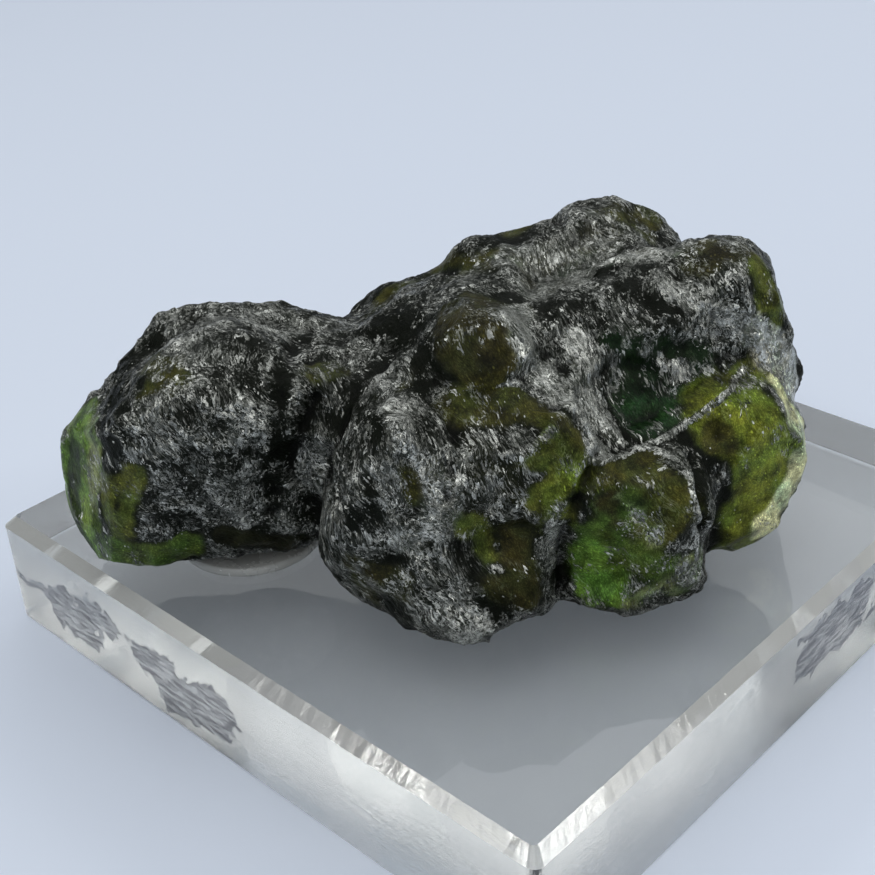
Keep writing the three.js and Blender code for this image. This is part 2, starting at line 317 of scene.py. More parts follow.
ZONES = (
    Zone("left_face", ((-12.9, -8.7, 4.6), (-13.8, -8.7, 8.6), (-14.6, -8.5, 10.1)),
         3.2, 0.54),
    Zone("left_top", ((-15.5, -4.0, 12.3), (-12.8, -0.4, 12.0), (-9.7, -2.0, 11.5)),
         2.2, 0.74),
    Zone("left_dark", ((-18.1, -7.0, 9.6), (-18.1, -8.3, 8.6)), 0.9, 0.26),
    Zone("left_strip", ((-20.3, -4.2, 8.1), (-19.9, -6.3, 7.0), (-20.4, -6.1, 4.5),
                        (-20.1, -6.7, 2.5), (-20.9, -4.6, 3.4), (-20.9, -4.0, 6.5)), 1.5,
         0.16, 1.0, Tint.FRESH, 0.3),
    Zone("left_pale", ((-19.5, -5.7, 8.6), (-19.5, -6.7, 8.0), (-19.8, -6.5, 6.5),
                       (-19.8, -6.8, 5.0)), 0.75, 0.30, 1.0, Tint.SAGE, 0.25),
    Zone("left_rim", ((-21.0, -5.0, 6.9), (-21.2, -5.1, 5.1), (-21.1, -5.4, 2.9),
                      (-20.5, -6.1, 1.4)), 0.75, 0.12, 1.0, Tint.FERN, 0.25),
    Zone("left_olive", ((-17.4, -8.6, 7.0), (-17.8, -8.6, 5.4), (-18.4, -8.2, 4.2),
                        (-18.9, -7.8, 5.2), (-18.8, -7.8, 6.4)), 1.1, 0.20, 1.0, Tint.MOSS),
    Zone("left_band", ((-19.2, -7.6, 2.8), (-17.1, -8.3, 2.6), (-15.1, -8.4, 2.8),
                       (-15.4, -8.5, 3.0)), 0.95, 0.14, 1.0, Tint.GREEN, 0.35),
    Zone("left_under", ((-13.3, -8.6, 3.4), (-12.1, -8.4, 3.0), (-10.7, -8.2, 2.5),
                        (-9.8, -8.0, 2.5)), 0.75, 0.05, 0.3, Tint.BROWN, 0.3),
    Zone("left_glints", ((-15.9, -8.4, 9.0), (-15.3, -8.5, 8.9)), 0.7, 1.15),
    Zone("left_brow", ((-16.2, -5.0, 11.4), (-15.2, -6.4, 11.8), (-14.8, -7.3, 11.4),
                       (-16.0, -6.8, 10.9)), 1.1, 0.44, 0.70, Tint.OLIVE),
    Zone("valley", VALLEY, 0.8, 0.40),
    Zone("bulge", ((-5.2, -11.0, 8.0), (-5.0, -12.0, 5.0)), 3.0, 0.56),
    Zone("bulge_knot", ((-8.4, -6.4, 11.2), (-7.6, -5.8, 11.4)), 1.0, 0.35, 0.75,
         Tint.OLIVE),
    Zone("bulge_top", ((-4.8, -8.5, 11.1),), 1.1, 0.45, 0.6, Tint.OLIVE),
    Zone("bulge_olive", ((-4.1, -12.3, 8.3),), 1.1, 0.46, 0.7, Tint.OLIVE),
    Zone("bulge_foot", ((-6.3, -11.8, 2.3), (-6.7, -12.1, 3.7), (-4.8, -13.2, 3.2)), 1.1,
         0.40, 0.8, Tint.BROWN),
    Zone("bulge_bright", ((-3.1, -12.0, 8.9), (-2.6, -12.7, 6.6), (-4.2, -12.8, 5.7)),
         0.9, 0.90, 0.5, Tint.SILVER),
    Zone("bulge_side", ((-5.2, -7.3, 11.0), (-4.4, -10.8, 10.8), (-3.8, -11.8, 9.8)),
         0.8, 0.85),
    Zone("toe", ((-3.1, -13.6, 2.3), (-1.7, -13.7, 1.6)), 1.1, 0.85),
    Zone("knob", ((-2.4, -7.4, 12.5), (-1.1, -8.5, 11.9), (0.2, -8.1, 12.7),
                  (0.4, -5.9, 13.5), (-0.9, -4.6, 13.5), (-1.6, -6.6, 13.2)), 1.5, 0.20,
         0.90, Tint.BROWN, 0.35),
    Zone("knob_shade", ((-3.3, -4.9, 12.3), (-2.9, -7.0, 12.3), (-2.2, -8.6, 11.2)), 0.9,
         0.34),
    Zone("front_olive", ((-1.4, -9.4, 10.6), (0.2, -9.5, 10.8), (1.6, -10.4, 10.6),
                         (2.8, -10.9, 10.0), (3.4, -11.4, 9.0)), 1.3, 0.22, 0.97,
         Tint.OLIVE),
    Zone("front_dark", ((-1.2, -11.3, 9.2), (-0.4, -11.9, 8.3), (0.4, -12.2, 7.6),
                        (-0.9, -12.3, 7.2)), 1.1, 0.55, 0.2, Tint.BROWN),
    Zone("front_pale", ((2.0, -11.5, 10.0), (1.8, -11.9, 9.1)), 0.55, 0.50, 1.0,
         Tint.SAGE),
    Zone("front_green", ((2.2, -11.8, 8.9), (2.9, -11.9, 7.9), (1.9, -12.3, 7.1),
                         (2.6, -12.3, 6.0)), 1.2, 0.24, 1.0, Tint.MOSS),
    Zone("front_gold", ((3.0, -11.9, 8.1), (2.6, -12.1, 7.4)), 0.8, 0.22, 1.0,
         Tint.LEAF),
    Zone("front_fern", ((-1.5, -12.5, 6.1), (-1.1, -12.4, 5.2), (-0.7, -12.7, 4.4)), 0.85,
         0.28, 1.0, Tint.MOSS),
    Zone("front_low", ((0.5, -12.7, 5.6), (0.4, -13.2, 4.3), (1.1, -13.7, 3.2),
                       (-0.3, -13.6, 3.4)), 1.2, 0.16, 0.95, Tint.BROWN),
    Zone("front_edge", ((2.4, -12.2, 5.4), (2.4, -12.1, 3.4)), 0.55, 0.85),
    Zone("green_brow", ((5.0, -11.5, 7.5), (6.4, -10.9, 7.5), (7.7, -11.7, 6.9),
                        (8.1, -12.4, 5.7), (6.7, -12.5, 5.3)), 1.5, 0.22, 1.0, Tint.OLIVE),
    Zone("green_face", ((5.3, -12.6, 6.2), (4.4, -12.5, 4.9), (6.2, -12.8, 3.6),
                        (7.6, -12.8, 2.8)), 1.5, 0.16, 1.0, Tint.GREEN),
    Zone("green_shade", ((4.9, -12.4, 6.6), (5.1, -12.6, 5.9)), 0.8, 0.14, 1.0,
         Tint.BROWN),
    Zone("green_fan", ((5.7, -12.4, 6.5), (6.2, -12.4, 5.8), (6.7, -12.6, 4.8)), 0.55,
         0.58, 1.0, Tint.SAGE),
    Zone("green_light", ((3.8, -12.2, 3.4), (4.2, -12.5, 2.0), (4.9, -12.7, 2.4)), 1.2,
         0.10, 1.0, Tint.SPRING),
    Zone("green_rind", ((6.4, -12.9, 1.8), (8.4, -12.4, 2.0),
                       (8.8, -12.1, 3.0)), 0.9, 0.52, 0.95, Tint.SAGE),
    Zone("between_dark", ((10.1, -9.2, 5.7), (10.5, -8.7, 3.0), (9.6, -10.4, 6.4)), 0.9,
         0.40),
    Zone("deep_hollow", ((7.5, -6.7, 9.3), (6.4, -7.6, 9.3), (8.1, -7.4, 8.6),
                         (6.8, -8.2, 8.6)), 1.2, 0.26, 0.95, Tint.DEEP),
    Zone("hollow_shade", ((5.6, -6.3, 11.8), (7.1, -6.0, 11.2), (8.5, -5.8, 10.9),
                          (10.0, -5.4, 10.6), (9.4, -6.4, 9.6), (8.0, -6.4, 9.8),
                          (6.2, -6.9, 10.2)), 1.0, 0.40, 0.35, Tint.DEEP),
    Zone("hollow_glints", ((8.2, -5.9, 10.5), (8.8, -6.1, 10.1)), 0.55, 1.20),
    Zone("right_face", ((10.6, -7.4, 8.2), (12.1, -7.5, 7.9), (12.6, -8.3, 6.1),
                        (14.0, -7.4, 5.0), (12.3, -8.0, 3.0), (12.3, -7.7, 1.0)), 1.9,
         0.12, 1.0, Tint.LEAF, 0.35),
    Zone("right_top", ((11.3, -6.0, 9.1), (12.4, -5.2, 9.6), (13.0, -5.5, 9.0)), 1.0,
         0.34, 1.0, Tint.MOSS),
    Zone("right_pale", ((14.2, -5.5, 8.6), (14.6, -6.3, 7.2), (15.2, -6.0, 5.8),
                        (15.0, -6.8, 5.0), (14.8, -7.1, 3.9), (14.2, -7.6, 2.8),
                        (13.2, -7.8, 1.9)), 0.95, 0.12, 1.0, Tint.PALE, 0.2),
    Zone("right_pocket", ((10.5, -8.0, 7.4), (10.9, -7.9, 6.8)), 0.95, 0.08, 1.0,
         Tint.OLIVE, 0.25),
    Zone("stream_head", ((1.6, -5.2, 12.8), (1.1, -6.6, 13.2), (1.3, -7.4, 12.6)), 0.95,
         1.05, 0.85, Tint.SILVER),
    Zone("stream_gap", ((2.2, -5.9, 12.3), (3.0, -6.6, 11.6)), 0.8, 0.62),
    Zone("stream_web", ((3.9, -8.0, 10.4), (4.1, -8.6, 9.8), (4.3, -9.2, 9.2)), 0.6,
         0.85, 0.5, Tint.SILVER, 0.3),
    Zone("stream_left", ((1.7, -7.6, 11.8), (2.3, -8.2, 11.1), (2.8, -8.7, 10.8),
                         (3.7, -9.7, 10.1), (4.2, -10.2, 9.2), (4.6, -10.2, 8.5)), 0.72,
         1.05, 0.7, Tint.SILVER),
    Zone("stream_right", ((4.1, -6.2, 12.0), (4.3, -6.7, 11.4), (4.6, -7.5, 10.4),
                          (5.0, -8.4, 9.1), (5.5, -9.0, 8.2)), 0.65, 1.00, 0.6,
         Tint.SILVER),
    Zone("cap_glints", ((8.8, -4.2, 13.4), (9.7, -4.2, 13.2), (10.2, -4.8, 12.5),
                        (11.3, -4.7, 12.1), (11.8, -4.7, 11.7)), 0.8, 1.10),
    Zone("ledge", ((3.6, -2.6, 13.1), (5.1, -2.2, 13.7), (6.6, -1.9, 14.1),
                   (8.0, -1.8, 14.3), (9.8, -1.7, 14.6)), 0.60, 0.92, 0.85, Tint.SILVER),
    Zone("ledge_shade", ((5.8, -3.0, 13.9), (7.5, -3.1, 14.1), (9.0, -3.1, 14.0)), 0.7,
         0.40),
    Zone("cap_brown", ((10.6, -2.7, 14.2), (11.4, -2.5, 14.5), (12.4, -3.1, 14.4)), 1.4,
         0.34, 0.85, Tint.BROWN),
    Zone("cap_right", ((13.3, -3.5, 13.7), (13.7, -4.2, 12.7), (14.1, -4.1, 11.9),
                       (14.3, -3.3, 12.4)), 0.95, 0.22, 1.0, Tint.MOSS, 0.4),
    # The right-facing flank: silvery fibres, made paler with painted light.
    Zone("pale_flank", ((13.0, -4.7, 10.9), (13.5, -4.8, 9.7), (14.2, -4.6, 9.9),
                        (14.6, -4.5, 8.7), (15.7, -3.0, 8.3), (14.9, -4.3, 7.5)), 0.90,
         0.80, 1.0, Tint.LIT_FLANK, 0.30),
    Zone("back_grey", ((1.9, 0.4, 13.2), (4.0, 0.8, 12.9), (6.1, 1.5, 14.2),
                       (2.7, -2.1, 12.7)), 1.5, 0.74, 0.4, Tint.SILVER),
    Zone("crest_olive", ((8.6, 1.8, 14.4), (7.0, 2.6, 14.8)), 1.3, 0.42, 0.6, Tint.OLIVE),
)


# ---- shader nodes ----


class Weaver:
    """Adds shader nodes to one tree and joins them."""

    def __init__(self, tree: bpy.types.NodeTree) -> None:
        """Keeps the tree that the nodes go into."""
        self.tree = tree

    def feed(self, socket: bpy.types.NodeSocket, source: Source) -> None:
        """Joins a socket to another one, or sets its own value."""
        if isinstance(source, bpy.types.NodeSocket):
            self.tree.links.new(source, socket)
        else:
            socket.default_value = source

    def add(self, kind: str, feeds: dict[str | int, Source], **settings: object) -> bpy.types.Node:
        """Adds a node.

        Args:
            kind: The node's type without its common prefix.
            feeds: What each input takes, by the input's name or number.
            settings: The node's own properties.

        Returns:
            The new node.
        """
        node = self.tree.nodes.new("ShaderNode" + kind)
        for name, value in settings.items():
            setattr(node, name, value)
        for name, source in feeds.items():
            self.feed(node.inputs[name], source)
        return node

    def math(self, operation: str, *terms: Source) -> bpy.types.NodeSocket:
        """The result of one sum on values."""
        return self.add("Math", dict(enumerate(terms)), operation=operation).outputs[0]

    def vector(self, operation: str, *terms: Source) -> bpy.types.NodeSocket:
        """The result of one sum on vectors."""
        return self.add("VectorMath", dict(enumerate(terms)), operation=operation).outputs[0]

    def scaled(self, vector: Source, by: Source) -> bpy.types.NodeSocket:
        """A vector made longer or shorter."""
        node = self.add("VectorMath", {0: vector, "Scale": by}, operation="SCALE")
        return node.outputs[0]

    def mix(self, share: Source, first: Source, second: Source) -> bpy.types.NodeSocket:
        """A colour between two colours."""
        feeds = {0: share, 6: first, 7: second}
        return self.add("Mix", feeds, data_type="RGBA").outputs[2]

    def between(self, share: Source, first: Source, second: Source) -> bpy.types.NodeSocket:
        """A value between two values."""
        return self.add("Mix", {0: share, 2: first, 3: second}).outputs[0]

    def rise(self, value: Source, low: Source, high: Source) -> bpy.types.NodeSocket:
        """A smooth rise from 0 at low to 1 at high."""
        feeds = {0: value, 1: low, 2: high}
        return self.add("MapRange", feeds, interpolation_type="SMOOTHSTEP").outputs[0]

    def noise(self, where: Source, scale: Source, detail: float, rough: float) -> bpy.types.Node:
        """A cloudy pattern, as a value and as a colour."""
        feeds = {"Vector": where, "Scale": scale, "Detail": detail, "Roughness": rough}
        return self.add("TexNoise", feeds)

    def cells(self, where: Source, scale: Source) -> bpy.types.Node:
        """A pattern of cells, each with its own random colour."""
        return self.add("TexVoronoi", {"Vector": where, "Scale": scale})

    def split(self, colour: bpy.types.NodeSocket) -> bpy.types.NodeOutputs:
        """The three parts of a colour."""
        return self.add("SeparateColor", {0: colour}).outputs

    def surface(self, name: str) -> bpy.types.Node:
        """Values kept on the mesh's own points."""
        return self.add("Attribute", {}, attribute_name=name)


def colour(tint: Colour) -> tuple[float, float, float, float]:
    """A colour with its fourth part, as sockets take it."""
    return (*tint, 1.0)


@dataclass(frozen=True)
class EffectSocket:
    """One named input or output of a shared effect."""

    name: str
    kind: str
    value: float | None = None


class Effect:
    """A shared shader effect: a node group that is built once and placed in materials."""

    title = "effect"
    takes: tuple[EffectSocket, ...] = ()
    gives: tuple[EffectSocket, ...] = ()

    def tree(self) -> bpy.types.NodeTree:
        """The effect's node group, built the first time it is asked for."""
        known = bpy.data.node_groups.get(self.title)
        if known:
            return known
        group = bpy.data.node_groups.new(self.title, "ShaderNodeTree")
        for sockets, side in ((self.takes, "INPUT"), (self.gives, "OUTPUT")):
            for one in sockets:
                made = group.interface.new_socket(
                    name=one.name, in_out=side, socket_type="NodeSocket" + one.kind)
                if one.value is not None:
                    made.default_value = one.value
        source = group.nodes.new("NodeGroupInput")
        sink = group.nodes.new("NodeGroupOutput")
        for name, socket in self.weave(Weaver(group), source.outputs).items():
            group.links.new(socket, sink.inputs[name])
        return group

    def weave(self, weaver: Weaver, given: bpy.types.NodeOutputs) -> Results:
        """Makes the effect's nodes.

        Args:
            weaver: Where the nodes go.
            given: The group's inputs by name.

        Returns:
            What each of the group's outputs takes.
        """
        raise NotImplementedError

    def place(self, weaver: Weaver, feeds: dict[str | int, Source]) -> bpy.types.NodeOutputs:
        """Puts the effect into a material and returns its outputs."""
        return weaver.add("Group", feeds, node_tree=self.tree()).outputs


class FlakeStreaks(Effect):
    """A dull film with short bright flakes that lie along the crystal's grain."""

    title = "flake_streaks"
    takes = (EffectSocket("Grain", "Vector"), EffectSocket("Cover", "Float", 0.5),
             EffectSocket("Fineness", "Float", 4.0))
    gives = (EffectSocket("Film", "Float"), EffectSocket("Flake", "Float"),
             EffectSocket("Bright", "Float"), EffectSocket("Tilt", "Vector"),
             EffectSocket("Height", "Float"))

    def weave(self, weaver: Weaver, given: bpy.types.NodeOutputs) -> Results:
        """Flakes from cells, broken up by fibres (see Effect.weave)."""
        grain, cover, fine = given["Grain"], given["Cover"], given["Fineness"]
        wander = weaver.noise(grain, weaver.math("MULTIPLY", fine, 0.45), 1.0, 0.6).outputs[1]
        shift = weaver.scaled(weaver.vector("SUBTRACT", wander, (0.5, 0.5, 0.5)), 0.45)
        bent = weaver.vector("ADD", grain, shift)
        flakes = weaver.cells(bent, fine)
        lot = weaver.split(flakes.outputs["Color"])
        fibres = weaver.noise(bent, weaver.math("MULTIPLY", fine, 1.5), 3.0, 0.7).outputs[0]
        leaning = weaver.math("MULTIPLY_ADD", cover, 0.55, weaver.math("SUBTRACT", fibres, 0.32))
        film = weaver.rise(leaning, 0.45, 0.57)
        chosen = weaver.math("SUBTRACT", lot[0], weaver.math("MULTIPLY_ADD", cover, -0.80, 1.18))
        flake = weaver.math("MULTIPLY", weaver.rise(chosen, 0.0, 0.05),
                            weaver.rise(fibres, 0.44, 0.56))
        rarity = weaver.between(weaver.rise(cover, 0.62, 1.10), 1.8, 1.0)
        bright = weaver.math("POWER", lot[1], rarity)
        tilt = weaver.vector("SUBTRACT", flakes.outputs["Color"], (0.5, 0.5, 0.5))
        edge = weaver.rise(flakes.outputs["Distance"], 0.6, 0.1)
        height = weaver.math("MULTIPLY_ADD", fibres, 0.8, weaver.math("MULTIPLY", edge, 0.35))
        return {"Film": film, "Flake": flake, "Bright": bright, "Tilt": tilt, "Height": height}


class SilkFibres(Effect):
    """Hair-fine bright fibres that lie along the grain, in tufts."""

    title = "silk_fibres"
    takes = (EffectSocket("Silk", "Vector"), EffectSocket("Cover", "Float", 0.5),
             EffectSocket("Fineness", "Float", 5.0))
    gives = (EffectSocket("Mask", "Float"),)

    def weave(self, weaver: Weaver, given: bpy.types.NodeOutputs) -> Results:
        """Fibres where a drawn-out noise crosses its middle (see Effect.weave)."""
        silk, cover, fine = given["Silk"], given["Cover"], given["Fineness"]
        strands = weaver.noise(silk, fine, 3.0, 0.65).outputs[0]
        off = weaver.math("ABSOLUTE", weaver.math("SUBTRACT", strands, 0.5))
        line = weaver.rise(off, 0.045, 0.008)
        tufts = weaver.noise(silk, weaver.math("MULTIPLY", fine, 0.40), 2.0, 0.6).outputs[0]
        lush = weaver.math("MULTIPLY_ADD", cover, 0.42, tufts)
        return {"Mask": weaver.math("MULTIPLY", line, weaver.rise(lush, 0.58, 0.78))}


class Sparkle(Effect):
    """Scattered small glints: few cells out of many are lit."""

    title = "sparkle"
    takes = (EffectSocket("Where", "Vector"), EffectSocket("Fineness", "Float", 5.0),
             EffectSocket("Few", "Float", 0.95))
    gives = (EffectSocket("Mask", "Float"),)

    def weave(self, weaver: Weaver, given: bpy.types.NodeOutputs) -> Results:
        """Lights the centres of the cells whose lot is high (see Effect.weave)."""
        spots = weaver.cells(given["Where"], given["Fineness"])
        lot = weaver.split(spots.outputs["Color"])[0]
        lit = weaver.rise(lot, given["Few"], weaver.math("ADD", given["Few"], 0.02))
        near = weaver.rise(spots.outputs["Distance"], 0.36, 0.14)
        return {"Mask": weaver.math("MULTIPLY", lit, near)}


def new_material(name: str) -> tuple[bpy.types.Material, Weaver, bpy.types.Node]:
    """A fresh material.

    Args:
        name: What the material is called.

    Returns:
        The material, a weaver for its nodes and its main shader.
    """
    material = bpy.data.materials.new(name)
    material.use_nodes = True
    weaver = Weaver(material.node_tree)
    return material, weaver, material.node_tree.nodes["Principled BSDF"]


def let_lamps_through(weaver: Weaver, shader: bpy.types.Node, share: float) -> None:
    """Lets lamp light pass a clear body, so that what lies behind it is lit.

    Args:
        weaver: The material's weaver.
        shader: The material's main shader.
        share: How much of the light passes.
    """
    clear = weaver.add("BsdfTransparent", {"Color": (share, share, share, 1.0)})
    from_lamp = weaver.add("LightPath", {}).outputs["Is Shadow Ray"]
    mixed = weaver.add("MixShader", {0: from_lamp, 1: shader.outputs[0], 2: clear.outputs[0]})
    weaver.feed(weaver.tree.nodes["Material Output"].inputs["Surface"], mixed.outputs[0])


@dataclass(frozen=True)
class CrystalFinish:
    """Dark green crystal with glassy windows under a film of silvery flakes."""

    ground: Colour = (0.0034, 0.0048, 0.0024)
    film: Colour = (0.018, 0.021, 0.016)
    dull_flake: Colour = (0.056, 0.061, 0.053)
    bright_flake: Colour = (0.840, 0.860, 0.800)
    hair_glow: Colour = (0.060, 0.070, 0.045)
    warm_cast: Colour = (1.12, 1.00, 0.78)
    cool_cast: Colour = (0.92, 1.03, 0.88)
    glint: Colour = (0.75, 0.78, 0.72)
    coarse_flakes: float = 6.0
    fine_flakes: float = 12.0
    hair_fineness: float = 5.0
    glint_cells: float = 8.0
    glint_few: float = 0.965
    fleck_cells: float = 7.0
    fleck_few: float = 0.80
    cloud_scale: float = 0.9
    speckle_scale: float = 6.0
    cast_scale: float = 0.55
    film_share: float = 0.85
    hollow_light: float = 0.38
    flake_metal: float = 0.72
    flake_rough: float = 0.27
    dull_rough: float = 0.42
    clear_rough: float = 0.28
    ior: float = 1.65
    shine: float = 0.05
    flake_tilt: float = 0.75
    bump_depth: float = 0.00008

    def make(self) -> bpy.types.Material:
        """The stone's material."""
        material, weaver, shader = new_material("rough_chrysoberyl")
        grain = weaver.surface("grain").outputs["Vector"]
        place = weaver.surface("place").outputs["Vector"]
        cover = weaver.surface("film").outputs["Fac"]
        clear = weaver.surface("clear").outputs["Fac"]
        hollow = weaver.surface("hollow").outputs["Fac"]
        glass = weaver.surface("glass").outputs["Color"]
        silk = weaver.surface("silk").outputs["Vector"]
        coarse, fine = (FlakeStreaks().place(weaver, {"Grain": grain, "Cover": cover,
                                                      "Fineness": fineness})
                        for fineness in (self.coarse_flakes, self.fine_flakes))
        hairs = SilkFibres().place(weaver, {"Silk": silk, "Cover": cover,
                                            "Fineness": self.hair_fineness})
        glints = Sparkle().place(weaver, {"Where": grain, "Fineness": self.glint_cells,
                                          "Few": self.glint_few})
        flecks = Sparkle().place(weaver, {"Where": grain, "Fineness": self.fleck_cells,
                                          "Few": self.fleck_few})
        cloud = weaver.noise(place, self.cloud_scale, 4.0, 0.65).outputs[0]
        speckle = weaver.noise(place, self.speckle_scale, 3.0, 0.7).outputs[0]
        depth = weaver.math("MULTIPLY", weaver.rise(cloud, 0.32, 0.70), 1.3)
        shade = weaver.math("MULTIPLY_ADD", weaver.math("SUBTRACT", speckle, 0.5), 1.0,
                            weaver.math("ADD", depth, 0.36))
        drift = weaver.noise(place, self.cast_scale, 3.0, 0.6).outputs[0]
        cast = weaver.mix(weaver.rise(drift, 0.38, 0.62), colour(self.warm_cast),
                          colour(self.cool_cast))
        fibres = weaver.rise(fine["Height"], 0.38, 0.66)
        thread = weaver.math("MULTIPLY_ADD", fibres, 0.7, 0.65)
        tinted = weaver.vector("MULTIPLY", glass, cast)
        clouded = weaver.scaled(tinted, weaver.math("MAXIMUM", shade, 0.12))
        threaded = weaver.scaled(clouded, thread)
        lively = weaver.math("MULTIPLY", flecks["Mask"], 0.85)
        strewn = weaver.mix(lively, threaded, weaver.scaled(tinted, 2.8))
        haired = weaver.vector("ADD", weaver.scaled(tinted, 1.6), self.hair_glow)
        body = weaver.mix(weaver.math("MULTIPLY", hairs["Mask"], 0.7), strewn, haired)
        base = weaver.mix(clear, colour(self.ground), body)
        filmed = weaver.mix(weaver.math("MULTIPLY", coarse["Film"], self.film_share), base,
                            colour(self.film))
        loose_hair = weaver.math("MULTIPLY", hairs["Mask"], weaver.rise(cover, 0.25, 0.7))
        flake = weaver.math("MAXIMUM", weaver.math("MAXIMUM", coarse["Flake"], fine["Flake"]),
                            loose_hair)
        clumps = weaver.between(weaver.rise(cloud, 0.40, 0.60), 0.58, 1.26)
        bright = weaver.math("MULTIPLY", clumps, weaver.between(
            fine["Flake"], coarse["Bright"], fine["Bright"]))
        silver = weaver.mix(bright, colour(self.dull_flake), colour(self.bright_flake))
        skinned = weaver.mix(flake, filmed, silver)
        # Painted glints: scattered pale spots put into the base colour.
        lit = weaver.math("MULTIPLY", glints["Mask"], weaver.rise(speckle, 0.4, 0.6))
        final = weaver.mix(lit, skinned, colour(self.glint))
        # Painted shade: the colour is darkened in creases.
        crease_shaded = weaver.scaled(final, weaver.between(hollow, 1.0, self.hollow_light))
        skin = weaver.math("MAXIMUM", flake, weaver.math("MULTIPLY", coarse["Film"], 0.5))
        metal = weaver.math("MULTIPLY", flake, self.flake_metal)
        bare = weaver.between(clear, self.dull_rough, self.clear_rough)
        rough = weaver.between(skin, bare, self.flake_rough)
        height = weaver.math("MULTIPLY_ADD", coarse["Height"], 0.75,
                             weaver.math("MULTIPLY", fine["Height"], 0.4))
        calm = weaver.between(clear, 1.0, 0.45)
        bump = weaver.add("Bump", {"Strength": calm, "Distance": self.bump_depth,
                                   "Height": height})
        lean = weaver.scaled(coarse["Tilt"], weaver.math("MULTIPLY", skin, self.flake_tilt))
        leaning = weaver.vector("NORMALIZE", weaver.vector("ADD", bump.outputs[0], lean))
        weaver.feed(shader.inputs["Base Color"], crease_shaded)
        weaver.feed(shader.inputs["Metallic"], metal)
        weaver.feed(shader.inputs["Roughness"], rough)
        weaver.feed(shader.inputs["Normal"], leaning)
        shader.inputs["IOR"].default_value = self.ior
        shader.inputs["Specular IOR Level"].default_value = self.shine
        return material


